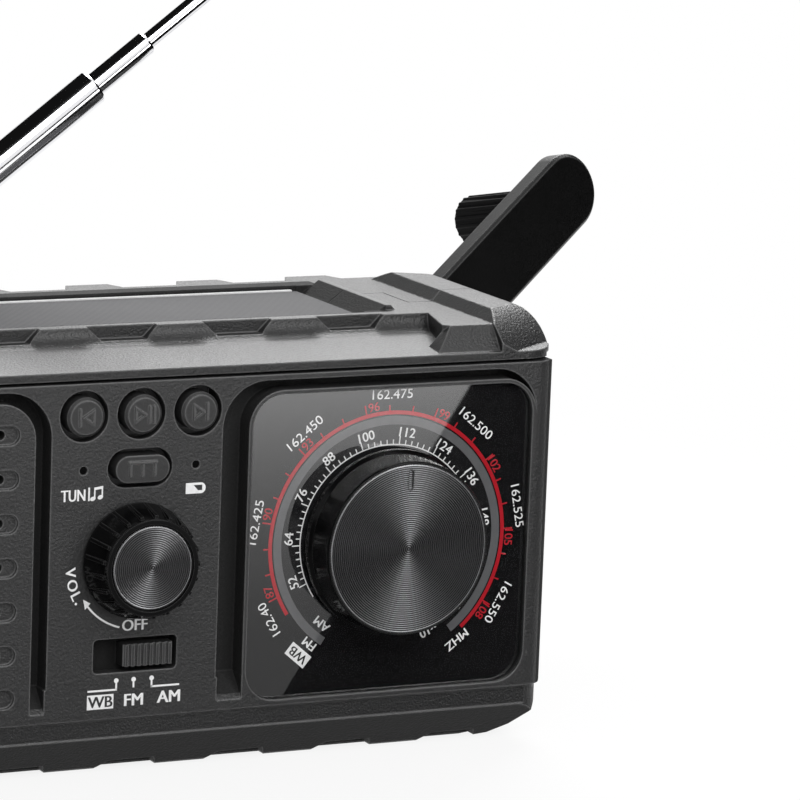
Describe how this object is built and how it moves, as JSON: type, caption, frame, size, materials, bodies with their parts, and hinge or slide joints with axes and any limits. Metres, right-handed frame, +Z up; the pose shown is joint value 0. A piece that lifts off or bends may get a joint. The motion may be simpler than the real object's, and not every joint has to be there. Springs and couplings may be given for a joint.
{
  "type": "hand crank weather radio",
  "caption": "Box radio with a round tuning dial, speaker grille, push buttons, solar deck, telescopic antenna and a folding crank that drives a generator through gears.",
  "frame": {"origin": "centre of the base's outline, on the surface the radio stands on", "axes": "+X to the right seen from the front, +Y to the back, +Z up"},
  "size_m": [0.2163, 0.1217, 0.1403],
  "materials": {
    "shell": "fine moulded texture",
    "panel": "fine moulded texture",
    "print": "printed dial",
    "clear": "clear polished",
    "knob": "satin",
    "spun": "spun",
    "brass": "turned",
    "pale": "moulded",
    "dark": "moulded",
    "rubber": "matt",
    "board": "lacquered board",
    "steel": "plated",
    "cone": "pressed paper",
    "solar": "resin over cells",
    "chrome": "polished",
    "cell": "sleeved",
    "silver": "metallised",
    "core": "sintered"
  },
  "bodies": {
    "radio": {"front_shell": "shell", "rear_shell": "shell", "front_panel": "panel", "dial_plate": "print", "dial_lens": "clear", "tuning_capacitor": "pale", "volume_control": "steel", "button_switches": "dark", "band_switch": "steel", "light_pipes": "clear", "main_board": "board", "board_screws": "steel", "speaker_frame": "steel", "speaker_cone": "cone", "speaker_magnet": "core", "solar_panel": "solar", "crank_bush": "brass", "gear_plate": "steel", "plate_screws": "steel", "idler_pin": "steel", "generator": "steel", "battery_cell": "cell", "battery_holder": "dark", "battery_contacts": "steel", "battery_door": "dark", "door_screw": "steel", "charge_socket": "steel", "output_socket": "steel", "port_board": "board", "flash_lens": "clear", "flash_reflector": "silver", "flash_board": "pale", "ferrite_rod": "core", "antenna_bracket": "dark", "antenna_pin": "steel", "case_screws": "steel"},
    "tuning": {"tuning_knob": "knob", "tuning_cap": "spun", "tuning_spindle": "brass"},
    "volume": {"volume_knob": "knob", "volume_cap": "spun", "volume_spindle": "brass"},
    "previous": {"button_previous": "rubber"},
    "play": {"button_play": "rubber"},
    "next": {"button_next": "rubber"},
    "mode": {"button_mode": "rubber"},
    "band": {"band_slider": "dark"},
    "crank": {"crank_hub": "dark", "crank_shaft": "steel", "crank_gear": "pale", "hinge_pin": "steel"},
    "arm": {"crank_arm": "dark", "knob_pin": "steel"},
    "knob": {"crank_knob": "knob"},
    "idler": {"idler_gear": "pale"},
    "rotor": {"generator_pinion": "brass"},
    "flap": {"port_cover": "rubber"},
    "antenna_1": {"antenna_tube_1": "chrome"},
    "antenna_2": {"antenna_tube_2": "chrome"},
    "antenna_3": {"antenna_tube_3": "chrome"}
  },
  "joints": [
    {"name": "crank_spin", "type": "hinge", "parent": "radio", "child": "crank", "pos_m": [0.065, 0.03, 0.0395], "axis": [0, 1, 0], "continuous": true},
    {"name": "idler_spin", "type": "hinge", "parent": "radio", "child": "idler", "pos_m": [0.05702, 0.02, 0.0281], "axis": [0, 1, 0], "continuous": true},
    {"name": "generator_spin", "type": "hinge", "parent": "radio", "child": "rotor", "pos_m": [0.04449, 0.02, 0.02589], "axis": [0, 1, 0], "continuous": true},
    {"name": "crank_fold", "type": "hinge", "parent": "crank", "child": "arm", "pos_m": [0.07085, 0.0358, 0.04334], "axis": [-0.549, 0, 0.8358], "range_deg": [-21, 141]},
    {"name": "knob_spin", "type": "hinge", "parent": "arm", "child": "knob", "pos_m": [0.1242, 0.06094, 0.07838], "axis": [-0.3063, 0.9304, -0.2012], "continuous": true},
    {"name": "tuning_turn", "type": "hinge", "parent": "radio", "child": "tuning", "pos_m": [0.04723, -0.033, 0.038], "axis": [0, 1, 0], "range_deg": [-140, 140]},
    {"name": "volume_turn", "type": "hinge", "parent": "radio", "child": "volume", "pos_m": [0, -0.033, 0.0376], "axis": [0, 1, 0], "range_deg": [0, 300]},
    {"name": "band_slide", "type": "slide", "parent": "radio", "child": "band", "axis": [1, 0, 0], "range_m": [-0.0043, 0]},
    {"name": "previous_press", "type": "slide", "parent": "radio", "child": "previous", "axis": [0, 1, 0], "range_m": [0, 0.0008], "stiffness_N_per_m": 1500},
    {"name": "play_press", "type": "slide", "parent": "radio", "child": "play", "axis": [0, 1, 0], "range_m": [0, 0.0008], "stiffness_N_per_m": 1500},
    {"name": "next_press", "type": "slide", "parent": "radio", "child": "next", "axis": [0, 1, 0], "range_m": [0, 0.0008], "stiffness_N_per_m": 1500},
    {"name": "mode_press", "type": "slide", "parent": "radio", "child": "mode", "axis": [0, 1, 0], "range_m": [0, 0.0008], "stiffness_N_per_m": 1500},
    {"name": "antenna_tilt", "type": "hinge", "parent": "radio", "child": "antenna_1", "pos_m": [-0.0483, 0.0294, 0.0602], "axis": [0, -1, 0], "range_deg": [-37.4, 52.6]},
    {"name": "antenna_draw", "type": "slide", "parent": "antenna_1", "child": "antenna_2", "axis": [0.7944, 0, 0.6074], "range_m": [-0.0127, 0.05]},
    {"name": "antenna_rod_draw", "type": "slide", "parent": "antenna_2", "child": "antenna_3", "axis": [0.7944, 0, 0.6074], "range_m": [-0.0296, 0.034]},
    {"name": "flap_open", "type": "hinge", "parent": "radio", "child": "flap", "pos_m": [-0.059, 0.0321, 0.0189], "axis": [-1, 0, 0], "range_deg": [0, 90]}
  ],
  "couplings": [
    {"joint": "idler_spin", "follows": "crank_spin", "ratio": -2.8333},
    {"joint": "generator_spin", "follows": "crank_spin", "ratio": 9.0667}
  ]
}
